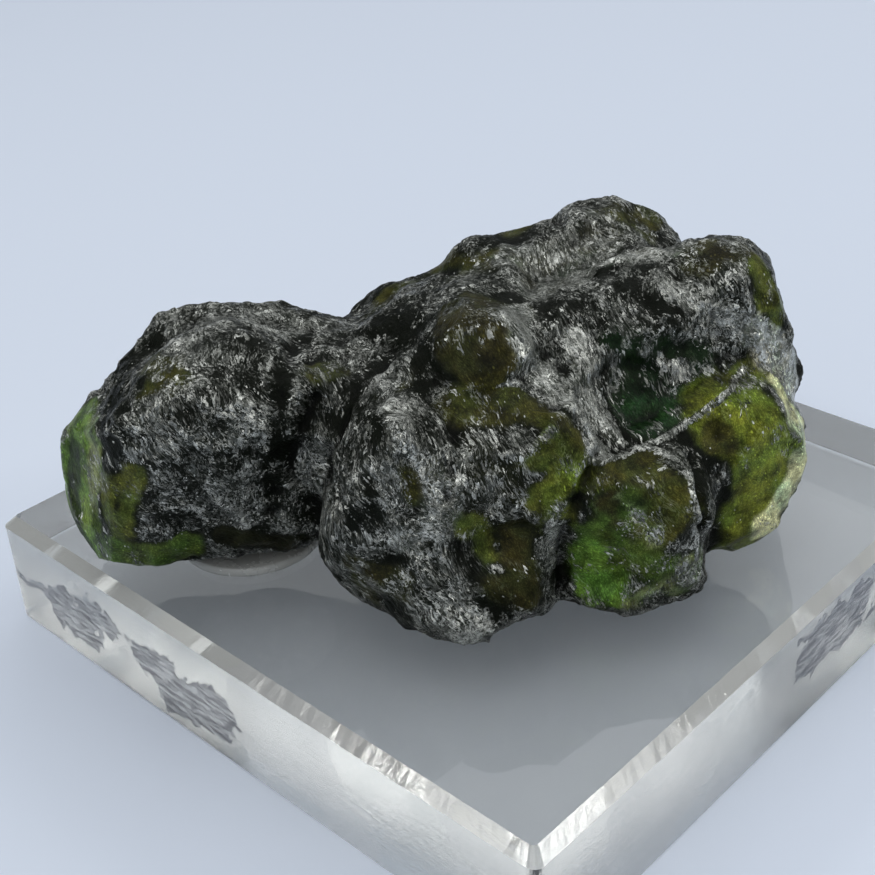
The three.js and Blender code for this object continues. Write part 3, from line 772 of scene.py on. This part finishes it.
@dataclass(frozen=True)
class AcrylicFinish:
    """Clear cast acrylic; sawn faces have frosted patches, fine saw marks and painted reflections
    and glints.
    """

    name: str
    tint: Colour
    wave_depth: float
    mark_depth: float = 0.0
    clearness: float = 1.0
    smooth: float = 0.0
    rough: float = 0.0
    frosted: float = 1.0
    corner_glint_share: float = 0.0
    wave_scale: float = 170.0
    mark_scale: Place = (900.0, 900.0, 4600.0)
    patch_scale: float = 150.0
    rag_scale: float = 430.0
    patch_pull: float = 0.008
    rag_pull: float = 0.009
    mean_pull: float = -0.0085
    dust_cells: float = 2500.0
    dust_few: float = 0.9985
    dust_tint: Colour = (0.05, 0.05, 0.05)
    ior: float = 1.49
    lamp_share: float = 0.455
    frost: Colour = (0.93, 0.94, 0.92)
    corner_glint: Colour = (1.0, 1.0, 0.95)
    corner_glint_near: float = 0.003
    corner_glint_far: float = 0.013
    front_corner: Place = (0.0188, -0.0188, 0.0064)
    reflection_spots: tuple[Place, ...] = ()
    reflection_reach: float = 0.0042
    reflection_squat: float = 2.4
    reflection_fade: float = 0.0004
    reflection_halo: float = 0.0008
    reflection_rough: float = 0.12
    reflected_dark: Colour = (0.045, 0.045, 0.055)
    reflected_pale: Colour = (0.60, 0.64, 0.70)

    def make(self) -> bpy.types.Material:
        """The acrylic's material for one kind of face."""
        material, weaver, shader = new_material(self.name)
        where = weaver.add("TexCoord", {}).outputs["Object"]
        waves = weaver.noise(where, self.wave_scale, 2.0, 0.5).outputs[0]
        slow = weaver.add("Bump", {"Strength": 1.0, "Distance": self.wave_depth,
                                   "Height": waves}).outputs[0]
        specks = Sparkle().place(weaver, {"Where": where, "Fineness": self.dust_cells,
                                          "Few": self.dust_few})
        if self.mark_depth > 0.0:
            tone, rough, normal = self.sawn(weaver, where, slow)
            weaver.feed(shader.inputs["Roughness"], rough)
        else:
            tone, normal = colour(self.tint), slow
            shader.inputs["Roughness"].default_value = self.smooth
        dusty = weaver.mix(specks["Mask"], tone, colour(self.dust_tint))
        weaver.feed(shader.inputs["Base Color"], dusty)
        weaver.feed(shader.inputs["Normal"], normal)
        shader.inputs["IOR"].default_value = self.ior
        shader.inputs["Transmission Weight"].default_value = self.clearness
        let_lamps_through(weaver, shader, self.lamp_share)
        return material

    def sawn(self, weaver: Weaver, where: Source, slow: Source) -> tuple[Source, Source, Source]:
        """Saw marks, frosted patches, painted dark reflections and painted corner glints.

        Args:
            weaver: Where the nodes go.
            where: The place on the surface.
            slow: The normal of the face with its slow waves.

        Returns:
            Colour, roughness and normal.
        """
        drawn = weaver.vector("MULTIPLY", where, self.mark_scale)
        marks = weaver.noise(drawn, 1.0, 4.0, 0.75).outputs[0]
        quick = weaver.add("Bump", {"Strength": 1.0, "Distance": self.mark_depth,
                                    "Height": marks, "Normal": slow})
        patches = weaver.noise(where, self.patch_scale, 3.0, 0.45).outputs[0]
        rags = weaver.noise(where, self.rag_scale, 3.0, 0.65).outputs[0]
        frosted = weaver.rise(patches, self.frosted, self.frosted + 0.03)
        # Painted glints: the chamfer is lightened in streaks towards the front corner, where it
        # catches the lamps.
        gap = weaver.add("VectorMath", {0: where, 1: self.front_corner},
                         operation="DISTANCE").outputs[1]
        near = weaver.math("MULTIPLY", weaver.rise(gap, self.corner_glint_far, self.corner_glint_near),
                           self.corner_glint_share)
        corner_glints = weaver.math("MULTIPLY", near, weaver.rise(marks, 0.42, 0.56))
        # Painted reflections: dark streaked wall patches with pale frosted rims, as if dark things
        # were mirrored there.
        squat = weaver.vector("MULTIPLY", where, (1.0, 1.0, self.reflection_squat))
        drift = weaver.math("MULTIPLY_ADD", patches, self.patch_pull, self.mean_pull)
        wander = weaver.math("MULTIPLY_ADD", rags, self.rag_pull, drift)
        dark_reflection, outer = 0.0, 0.0
        for x, y, z in self.reflection_spots:
            away = weaver.add("VectorMath", {0: squat, 1: (x, y, z * self.reflection_squat)},
                              operation="DISTANCE").outputs[1]
            off = weaver.math("ADD", away, wander)
            dark_reflection = weaver.math("MAXIMUM", dark_reflection, weaver.rise(
                off, self.reflection_reach, self.reflection_reach - self.reflection_fade))
            outer = weaver.math("MAXIMUM", outer, weaver.rise(
                off, self.reflection_reach + self.reflection_halo, self.reflection_reach))
        cloudy = weaver.math("MAXIMUM", frosted, outer)
        face = weaver.mix(cloudy, colour(self.tint), colour(self.frost))
        reflection_streaks = weaver.mix(weaver.rise(marks, 0.40, 0.78), colour(self.reflected_dark),
                             colour(self.reflected_pale))
        reflected_face = weaver.mix(dark_reflection, face, reflection_streaks)
        glinted = weaver.mix(corner_glints, reflected_face, colour(self.corner_glint))
        sawn = weaver.between(cloudy, self.smooth, self.rough)
        rough = weaver.between(dark_reflection, sawn, self.reflection_rough)
        return glinted, rough, quick.outputs[0]


class FaceKind(Enum):
    """The kinds of face on the acrylic plate, each with its finish."""

    CLEAR = AcrylicFinish("clear_acrylic_face", (0.775, 0.77, 0.74), wave_depth=0.000006)
    WALL = AcrylicFinish(
        "clear_acrylic_wall", (0.80, 0.82, 0.80), wave_depth=0.00005, mark_depth=0.000016,
        clearness=0.93, smooth=0.02, rough=0.24, frosted=0.53,
        reflection_spots=((-0.0142, -0.01905, 0.0030), (-0.0032, -0.01905, 0.0028),
                 (0.01905, 0.0035, 0.0040)))
    EDGE = AcrylicFinish(
        "clear_acrylic_edge", (0.97, 0.98, 0.94), wave_depth=0.00004, mark_depth=0.000016,
        clearness=0.62, smooth=0.05, rough=0.20, frosted=0.50, corner_glint_share=1.0)


@dataclass(frozen=True)
class PadFinish:
    """Milky clear adhesive."""

    tint: Colour = (0.80, 0.82, 0.80)
    rough: float = 0.4
    skin_scale: float = 900.0
    skin_depth: float = 0.00004
    ior: float = 1.47
    clearness: float = 0.35
    lamp_share: float = 0.7

    def make(self) -> bpy.types.Material:
        """The adhesive's material."""
        material, weaver, shader = new_material("clear_adhesive")
        where = weaver.add("TexCoord", {}).outputs["Object"]
        skin = weaver.noise(where, self.skin_scale, 3.0, 0.6).outputs[0]
        bump = weaver.add("Bump", {"Strength": 1.0, "Distance": self.skin_depth,
                                   "Height": skin})
        weaver.feed(shader.inputs["Normal"], bump.outputs[0])
        weaver.feed(shader.inputs["Roughness"],
                    weaver.math("MULTIPLY", weaver.rise(skin, 0.2, 0.8), self.rough))
        shader.inputs["Base Color"].default_value = colour(self.tint)
        shader.inputs["IOR"].default_value = self.ior
        shader.inputs["Transmission Weight"].default_value = self.clearness
        let_lamps_through(weaver, shader, self.lamp_share)
        return material


@dataclass(frozen=True)
class FloorFinish:
    """Plain pale paper."""

    tint: Colour = (0.70, 0.765, 0.88)
    cloud_scale: float = 14.0
    cloud_shade: float = 0.985
    rough: float = 0.9
    shine: float = 0.1

    def make(self) -> bpy.types.Material:
        """The floor's material."""
        material, weaver, shader = new_material("pale_floor")
        where = weaver.add("TexCoord", {}).outputs["Object"]
        soft = weaver.noise(where, self.cloud_scale, 2.0, 0.5).outputs[0]
        shaded = tuple(part * self.cloud_shade for part in self.tint)
        tone = weaver.mix(soft, colour(shaded), colour(self.tint))
        weaver.feed(shader.inputs["Base Color"], tone)
        shader.inputs["Roughness"].default_value = self.rough
        shader.inputs["Specular IOR Level"].default_value = self.shine
        return material


# ---- pieces ----


def add_mesh(name: str, places: np.ndarray, faces: list[tuple[int, ...]]) -> bpy.types.Object:
    """A new mesh object in the scene.

    Args:
        name: The piece's name.
        places: Its points in the row frame, in metres.
        faces: Its faces as point numbers.

    Returns:
        The object.
    """
    mesh = bpy.data.meshes.new(name)
    mesh.from_pydata(places.tolist(), [], faces)
    mesh.update()
    return put_in_scene(name, mesh)


def put_in_scene(name: str, data: bpy.types.ID) -> bpy.types.Object:
    """A new object in the scene that shows the given mesh, lamp or camera."""
    made = bpy.data.objects.new(name, data)
    bpy.context.scene.collection.objects.link(made)
    return made


def ring_faces(rings: int, around: int) -> list[tuple[int, ...]]:
    """The faces of a closed body made of stacked rings, with flat ends.

    Args:
        rings: How many rings there are, from the foot up.
        around: How many points each ring has, anticlockwise from above.

    Returns:
        The faces as point numbers.
    """
    faces = [tuple(reversed(range(around)))]
    for start in range(0, (rings - 1) * around, around):
        for index in range(around):
            after = (index + 1) % around
            faces.append((start + index, start + after,
                          start + around + after, start + around + index))
    top = (rings - 1) * around
    faces.append(tuple(range(top, top + around)))
    return faces


def read_points(mesh: bpy.types.Mesh) -> np.ndarray:
    """A mesh's points, one a row."""
    flat = np.zeros(len(mesh.vertices) * 3)
    mesh.vertices.foreach_get("co", flat)
    return flat.reshape(-1, 3)


def write_points(mesh: bpy.types.Mesh, points: np.ndarray) -> None:
    """Moves a mesh's points."""
    mesh.vertices.foreach_set("co", points.ravel())
    mesh.update()


def read_normals(mesh: bpy.types.Mesh) -> np.ndarray:
    """The normals at a mesh's points."""
    flat = np.zeros(len(mesh.vertices) * 3, np.float32)
    mesh.vertex_normals.foreach_get("vector", flat)
    return flat.reshape(-1, 3).astype(float)


@dataclass
class Chrysoberyl:
    """The rough stone: an even fine mesh over the CAD solid, carved and dressed."""

    node: str = "chrysoberyl"
    voxel: float = 0.18
    grain_lean: Place = (0.40, -0.60, -0.70)
    grain_stretch: float = 2.4
    silk_stretch: float = 8.0
    lump_wave: float = 2.1
    lump_rise: float = 0.09
    scale_wave: float = 0.75
    scale_rise: float = 0.07
    plate_count: int = 1500
    plate_tilt: float = 0.09
    plate_limit: float = 0.05
    pit_rise: float = -0.07
    chip_count: int = 240
    knuckle_wave: float = 3.0
    knuckle_rise: float = 0.20
    crumb_wave: float = 1.3
    crumb_rise: float = 0.11
    smooth_steps: int = 14
    let_down: float = 0.07
    seat_edge: float = -7.8
    seat_floor: float = 0.53
    film_mean: float = 0.48
    film_spread: float = 0.38
    patch_spread: float = 0.42
    ridge_film: float = 0.92
    space: StoneFrame = StoneFrame()

    def refine(self) -> bpy.types.Mesh:
        """Rounds the CAD solid and covers it with an even mesh, in the stone's frame."""
        shape = bmesh.new()
        shape.from_mesh(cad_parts[self.node].data)
        bmesh.ops.remove_doubles(shape, verts=shape.verts, dist=1e-6)
        bmesh.ops.join_triangles(shape, faces=shape.faces, angle_face_threshold=0.9,
                                 angle_shape_threshold=1.0)
        rough = bpy.data.meshes.new("stone_rough")
        shape.to_mesh(rough)
        shape.free()
        write_points(rough, self.space.from_row(read_points(rough)))
        holder = put_in_scene("stone_rough", rough)
        rounding = holder.modifiers.new("rounding", "SUBSURF")
        rounding.levels = 2
        even = holder.modifiers.new("even_mesh", "REMESH")
        even.mode = "VOXEL"
        even.voxel_size = self.voxel
        ready = holder.evaluated_get(bpy.context.evaluated_depsgraph_get())
        fine = bpy.data.meshes.new_from_object(ready)
        bpy.data.objects.remove(holder)
        return fine

    def along_grain(self, points: np.ndarray, stretch: float) -> np.ndarray:
        """The points with the grain's direction shortened, so that patterns lie along it.

        Args:
            points: Places in mm, one a row.
            stretch: How much longer than wide the patterns get.

        Returns:
            The shortened places.
        """
        lean = np.array(self.grain_lean) / np.linalg.norm(self.grain_lean)
        bend = np.stack([0.6 * GrowthNoise(3.4, seed).at(points)
                         + 0.16 * GrowthNoise(1.1, seed + 3).at(points)
                         for seed in (21, 22, 23)], axis=1)
        loose = points + bend
        along = loose @ lean
        return loose - np.outer(along * (1 - 1 / stretch), lean)

    def chips(self, points: np.ndarray) -> list[Flat]:
        """Small crystal faces scattered over the whole stone."""
        draw = np.random.default_rng(7)
        picks = draw.choice(len(points), self.chip_count, replace=False)
        reach = draw.uniform(0.8, 2.2, self.chip_count)
        return [Flat(tuple(points[pick]), wide, 0.03 + 0.06 * wide)
                for pick, wide in zip(picks, reach)]

    def carve(self, mesh: bpy.types.Mesh, clear: np.ndarray) -> None:
        """Swells the stone, presses its faces flat, cuts the creases, raises the ridges.

        Args:
            mesh: The stone in its own frame; its points are moved.
            clear: How clear the crystal is at each point; clear crystal stays calmer.
        """
        points = read_points(mesh)
        calm = 1 - 0.7 * clear
        knuckles = np.abs(GrowthNoise(self.knuckle_wave, 11).at(points)) - 0.25
        swell = self.knuckle_rise * knuckles * calm
        for line in SWELLS:
            swell += line.height(points)
        points = points + swell[:, None] * read_normals(mesh)
        write_points(mesh, points)
        for face in (*self.chips(points), *FLATS):
            points = face.press(points, read_normals(mesh))
        write_points(mesh, points)
        crumbs = np.abs(GrowthNoise(self.crumb_wave, 12).at(points)) - 0.25
        rise = self.crumb_rise * crumbs * calm
        for line in (*CREASES, *RIDGES):
            wobble = GrowthNoise(0.9, 31).at(points)
            rise += line.height(points) * (1 + 0.5 * wobble)
        rise += self.lump_rise * calm * GrowthNoise(self.lump_wave, 41).layered(points, 2)
        write_points(mesh, points + rise[:, None] * read_normals(mesh))

    def paint(self, mesh: bpy.types.Mesh) -> dict[str, np.ndarray]:
        """Works out each point's film, clearness, colour and grain.

        Args:
            mesh: The rounded stone in its own frame.

        Returns:
            The values by name.
        """
        points = read_points(mesh)
        uneven = GrowthNoise(1.5, 51).layered(points, 3)
        film = self.film_mean + self.film_spread * GrowthNoise(1.9, 61).layered(points, 3)
        patches = ease(GrowthNoise(3.8, 71).at(points), 0.22, 0.42) * ease(points[:, 1], -2.0, 1.5)
        clear = 0.8 * patches
        patchy = GrowthNoise(1.3, 65).layered(points, 2)
        film -= 0.25 * patches
        glass = np.tile(np.array(Tint.INK.value), (len(points), 1))
        glass += patches[:, None] * (np.array(Tint.OLIVE.value) - glass)
        for zone in ZONES:
            share = zone.share(points, uneven)
            film += share * (zone.film + self.patch_spread * patchy - film)
            clear += share * (zone.clear - clear)
            glass += share[:, None] * (np.array(zone.tint.value) - glass)
            log.debug("%s covers %d points", zone.name, np.count_nonzero(share > 0.5))
        for line in RIDGES:
            share = 1 - ease(away_from(points, line.path), 0.08, 0.26)
            film += share * (np.maximum(film, self.ridge_film) - film)
        return {"film": film, "clear": clear, "glass": glass, "place": points,
                "grain": self.along_grain(points, self.grain_stretch),
                "silk": self.along_grain(points, self.silk_stretch)}

    def roughen(self, mesh: bpy.types.Mesh, looks: dict[str, np.ndarray]) -> None:
        """Raises scales under the film and pits between them, less on clear crystal."""
        points, normals = read_points(mesh), read_normals(mesh)
        loose = points + (looks["grain"] - looks["place"]) * 0.75
        scales = 1 - 2 * np.abs(GrowthNoise(self.scale_wave, 81).layered(loose, 2))
        calm = 1 - 0.75 * looks["clear"]
        pits = ease(GrowthNoise(1.1, 91).at(points), 0.35, 0.65)
        rise = (self.scale_rise * (scales - 0.5) + self.pit_rise * pits) * calm
        rise += self.plates(looks["grain"]) * (1 - 0.6 * looks["clear"])
        write_points(mesh, points + rise[:, None] * normals)

    def plates(self, grain: np.ndarray) -> np.ndarray:
        """Small tilted plates that overlap, longer along the grain.

        Args:
            grain: The points' places along the grain.

        Returns:
            How far each point is lifted, in mm.
        """
        draw = np.random.default_rng(17)
        seeds = grain[draw.choice(len(grain), self.plate_count, replace=False)]
        tilts = draw.normal(size=seeds.shape) * self.plate_tilt
        tree = kdtree.KDTree(len(seeds))
        for number, seed in enumerate(seeds):
            tree.insert(seed, number)
        tree.balance()
        nearest = np.array([tree.find(place)[1] for place in grain])
        lift = np.sum((grain - seeds[nearest]) * tilts[nearest], axis=1)
        return np.clip(lift, -self.plate_limit, self.plate_limit)

    def standing(self, mesh: bpy.types.Mesh) -> np.ndarray:
        """How far each point stands above its surroundings, in mm; creases are below 0."""
        points = read_points(mesh)
        ends = np.zeros(len(mesh.edges) * 2, np.int64)
        mesh.edges.foreach_get("vertices", ends)
        first, second = ends.reshape(-1, 2).T
        count = np.bincount(np.concatenate((first, second)), minlength=len(points))
        calm = points.copy()
        for _ in range(self.smooth_steps):
            total = np.stack([np.bincount(first, calm[second, axis], len(points))
                              + np.bincount(second, calm[first, axis], len(points))
                              for axis in range(3)], axis=1)
            calm = total / count[:, None]
        return np.sum((points - calm) * read_normals(mesh), axis=1)

    def settle(self, mesh: bpy.types.Mesh) -> None:
        """Lowers the foot as far as the stone's CAD box allows, which ends above the plate."""
        points = read_points(mesh)
        low = 1 - ease(points[:, 2], 0.1, 0.9)
        points[:, 2] -= self.let_down * low * (points[:, 0] > self.seat_edge)
        over_pad = points[:, 0] < self.seat_edge
        points[over_pad, 2] = np.maximum(points[over_pad, 2], self.seat_floor)
        placed = self.space.to_row(points)
        low_corner, high_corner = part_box(self.node)
        write_points(mesh, np.clip(placed, np.array(low_corner), np.array(high_corner)))

    def build(self) -> bpy.types.Object:
        """Makes the stone."""
        mesh = self.refine()
        looks = self.paint(mesh)
        self.carve(mesh, looks["clear"])
        self.roughen(mesh, looks)
        standing = self.standing(mesh)
        # Painted crease shade: a mask of the creases, which darkens the colour there and also
        # thins the film.
        looks["hollow"] = 1 - ease(standing, -0.18, -0.03)
        looks["film"] += 0.22 * ease(standing, 0.02, 0.14) - 0.12 * looks["hollow"]
        self.settle(mesh)
        for name, values in looks.items():
            self.keep(mesh, name, values)
        mesh.polygons.foreach_set("use_smooth", [True] * len(mesh.polygons))
        mesh.name = "stone"
        return put_in_scene("chrysoberyl_stone", mesh)

    def keep(self, mesh: bpy.types.Mesh, name: str, values: np.ndarray) -> None:
        """Stores values on the mesh's points for the finish to read."""
        if name == "glass":
            values = np.concatenate((values, np.ones((len(values), 1))), axis=1)
            mesh.attributes.new(name, "FLOAT_COLOR", "POINT").data.foreach_set(
                "color", values.ravel())
        elif values.ndim == 2:
            mesh.attributes.new(name, "FLOAT_VECTOR", "POINT").data.foreach_set(
                "vector", values.ravel())
        else:
            mesh.attributes.new(name, "FLOAT", "POINT").data.foreach_set("value", values)

    def dress(self, piece: bpy.types.Object) -> None:
        """Gives the stone its finish and its place on the frame."""
        piece.data.materials.clear()
        piece.data.materials.append(CrystalFinish().make())
        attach(piece, "root")
        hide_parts(self.node)


@dataclass
class AcrylicBase:
    """The clear square plate with its chamfered top edge."""

    side: float = 38.1
    thick: float = 6.7
    chamfer: float = 0.6
    corner: float = 0.5
    foot_edge: float = 0.12
    steps: int = 96
    corner_steps: int = 5
    wander: float = 0.03
    level_lean: float = 0.95
    wall_lean: float = 0.2

    def outline(self, inset: float) -> np.ndarray:
        """The plate's outline, seen from above.

        Args:
            inset: How far the outline is drawn in from the walls, in mm.

        Returns:
            Its points in mm, anticlockwise.
        """
        half = self.side / 2 - inset
        bend = max(self.corner - inset * 0.4, 0.08)
        points = []
        for quarter in range(4):
            turn = quarter * math.pi / 2
            c, s = math.cos(turn), math.sin(turn)
            side = [(half, y) for y in np.linspace(-half + bend, half - bend, self.steps)]
            angles = np.linspace(0, math.pi / 2, self.corner_steps + 2)[1:-1]
            side += [(half - bend + bend * math.cos(a), half - bend + bend * math.sin(a))
                     for a in angles]
            points += [(x * c - y * s, x * s + y * c) for x, y in side]
        return np.array(points)

    def build(self) -> bpy.types.Object:
        """Makes the plate from rings, with uneven sawn edges."""
        levels = ((0.0, self.foot_edge, 0.0), (self.foot_edge, 0.0, 0.0),
                  (self.thick * 0.5, 0.0, 0.0),
                  (self.thick - self.chamfer, 0.0, 1.0), (self.thick, self.chamfer, 1.0))
        rings = []
        for up, inset, loose in levels:
            flat = self.outline(inset)
            ring = np.column_stack((flat, np.full(len(flat), up)))
            if loose:
                off = np.abs(GrowthNoise(1.3, 101).layered(ring, 2)) * self.wander
                if up < self.thick:
                    ring[:, 2] += off * 1.6
                else:
                    ring[:, :2] *= 1 + (off / (self.side / 2))[:, None]
            rings.append(ring)
        made = add_mesh("acrylic_plate", np.concatenate(rings) * MM,
                        ring_faces(len(rings), len(rings[0])))
        for face in made.data.polygons:
            face.material_index = list(FaceKind).index(self.kind(face.normal.z))
        return made

    def kind(self, lean: float) -> FaceKind:
        """Which kind of face one with this upward lean is."""
        if abs(lean) >= self.level_lean:
            return FaceKind.CLEAR
        return FaceKind.EDGE if lean > self.wall_lean else FaceKind.WALL

    def dress(self, piece: bpy.types.Object) -> None:
        """Gives the plate its finishes and its place on the frame."""
        for kind in FaceKind:
            piece.data.materials.append(kind.value.make())
        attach(piece, "root")
        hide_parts("acrylic_base")


@dataclass
class AdhesivePad:
    """The clear round pad under the raised end of the stone."""

    diameter: float = 7.7
    thick: float = 0.5
    edge: float = 0.12
    across: float = -12.8
    away: float = -3.2
    around: int = 72
    space: StoneFrame = StoneFrame()

    def build(self) -> bpy.types.Object:
        """Makes the pad as a turned disc with a soft, rounded edge."""
        radius = self.diameter / 2
        bulge = [(radius - self.edge * (1 - math.cos(a)), self.thick / 2 * (1 + math.sin(a)))
                 for a in np.linspace(-math.pi / 2, math.pi / 2, 7)]
        profile = [(radius * 0.5, 0.0)] + bulge + [(radius * 0.8, self.thick * 0.97),
                                                   (radius * 0.45, self.thick * 0.94)]
        turns = np.linspace(0, 2 * math.pi, self.around, endpoint=False)
        rings = [np.column_stack((self.across + out * np.cos(turns),
                                  self.away + out * np.sin(turns), np.full(self.around, up)))
                 for out, up in profile]
        made = add_mesh("adhesive_disc", self.space.to_row(np.concatenate(rings)),
                        ring_faces(len(rings), self.around))
        made.data.polygons.foreach_set("use_smooth", [True] * len(made.data.polygons))
        return made

    def dress(self, piece: bpy.types.Object) -> None:
        """Gives the pad its finish and its place on the frame."""
        piece.data.materials.append(PadFinish().make())
        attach(piece, "root")
        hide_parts("adhesive_pad")


# ---- studio ----


@dataclass(frozen=True)
class SoftLight:
    """A square soft light that looks at the stone."""

    name: str
    place: Place
    size: float
    power: float
    tint: Colour = (1.0, 1.0, 1.0)

    def hang(self, target: Vector) -> None:
        """Hangs the light and turns it to the target."""
        lamp = bpy.data.lights.new(self.name, "AREA")
        lamp.shape = "SQUARE"
        lamp.size = self.size
        lamp.energy = self.power
        lamp.color = self.tint
        hung = put_in_scene(self.name, lamp)
        hung.location = self.place
        hung.rotation_euler = (Vector(self.place) - target).to_track_quat("Z", "Y").to_euler()


@dataclass
class Studio:
    """A plain pale floor, soft lights and a pale surrounding."""

    floor_reach: float = 0.45
    floor_drop: float = 0.00005
    floor_corners: int = 64
    lit_place: Place = (0.0, 0.0, 0.012)
    sky: Colour = (0.80, 0.88, 1.0)
    sky_strength: float = 0.13
    backdrop_strength: float = 0.60
    lights: tuple[SoftLight, ...] = (
        SoftLight("window_light", (-0.06, 0.17, 0.42), 0.80, 1.84, (0.98, 0.99, 1.0)),
        SoftLight("front_light", (0.14, -0.30, 0.30), 0.36, 0.50, (1.0, 0.99, 0.97)),
        SoftLight("glint_light", (0.05, -0.10, 0.42), 0.12, 0.18, (1.0, 0.99, 0.97)),
        SoftLight("side_light", (0.30, 0.32, 0.26), 0.26, 0.28, (1.0, 1.0, 0.98)),
        SoftLight("right_glint", (0.342, 0.231, 0.199), 0.060, 0.22, (1.0, 1.0, 0.96)),
        SoftLight("left_glint", (-0.206, -0.341, 0.231), 0.060, 0.30, (1.0, 1.0, 0.96)),
    )

    def build(self) -> None:
        """Lays the floor, hangs the lights and sets the surrounding."""
        turns = np.linspace(0, 2 * math.pi, self.floor_corners, endpoint=False)
        ring = np.column_stack((np.cos(turns), np.sin(turns), np.zeros(self.floor_corners)))
        floor = add_mesh("studio_floor", ring * self.floor_reach,
                         [tuple(range(self.floor_corners))])
        floor.data.materials.append(FloorFinish().make())
        floor.location.z = -self.floor_drop
        for light in self.lights:
            light.hang(Vector(self.lit_place))
        world = bpy.data.worlds.new("pale_surrounding")
        world.use_nodes = True
        backdrop = world.node_tree.nodes["Background"]
        backdrop.inputs["Color"].default_value = colour(self.sky)
        weaver = Weaver(world.node_tree)
        seen = weaver.add("LightPath", {}).outputs["Is Camera Ray"]
        weaver.feed(backdrop.inputs["Strength"],
                    weaver.between(seen, self.sky_strength, self.backdrop_strength))
        bpy.context.scene.world = world
        bpy.context.scene.view_settings.view_transform = "Standard"


@dataclass
class PhotoCamera:
    """A camera at the photograph's viewing angle."""

    side: float = 38.1
    plate_top: float = 6.7
    azimuth: float = 44.6751
    elevation: float = 30.7338
    roll: float = -3.1794
    distance: float = 2.0572
    slide: tuple[float, float] = (-0.0759, 0.0721)
    focal: float = 1428.081
    pixels: int = 875
    sensor: float = 36.0

    def build(self) -> bpy.types.Object:
        """Makes the camera; its distance and slide are shares of the plate's side."""
        a, e, r = (math.radians(angle) for angle in (self.azimuth, self.elevation, self.roll))
        back = Vector((math.sin(a) * math.cos(e), -math.cos(a) * math.cos(e), math.sin(e)))
        level = Vector((math.cos(a), math.sin(a), 0))
        rise = back.cross(level)
        right = level * math.cos(r) + rise * math.sin(r)
        top = rise * math.cos(r) - level * math.sin(r)
        place = back * self.distance + right * self.slide[0] + top * self.slide[1]
        place = (place * self.side + Vector((0, 0, self.plate_top))) * MM
        lens = bpy.data.cameras.new("photo_camera")
        lens.sensor_width = self.sensor
        lens.lens = self.focal / self.pixels * self.sensor
        lens.clip_start = 0.001
        camera = put_in_scene("photo_camera", lens)
        turn = Matrix((right, top, back)).transposed()
        camera.matrix_world = Matrix.Translation(place) @ turn.to_4x4()
        bpy.context.scene.camera = camera
        return camera


def main() -> None:
    """Builds the pieces in order, dresses them and sets up the studio."""
    for part in (AcrylicBase(), AdhesivePad(), Chrysoberyl()):
        piece = part.build()
        part.dress(piece)
        triangles = sum(len(face.vertices) - 2 for face in piece.data.polygons)
        log.info("%s: %d triangles", piece.name, triangles)
    Studio().build()
    PhotoCamera().build()


if __name__ == "__main__":
    main()
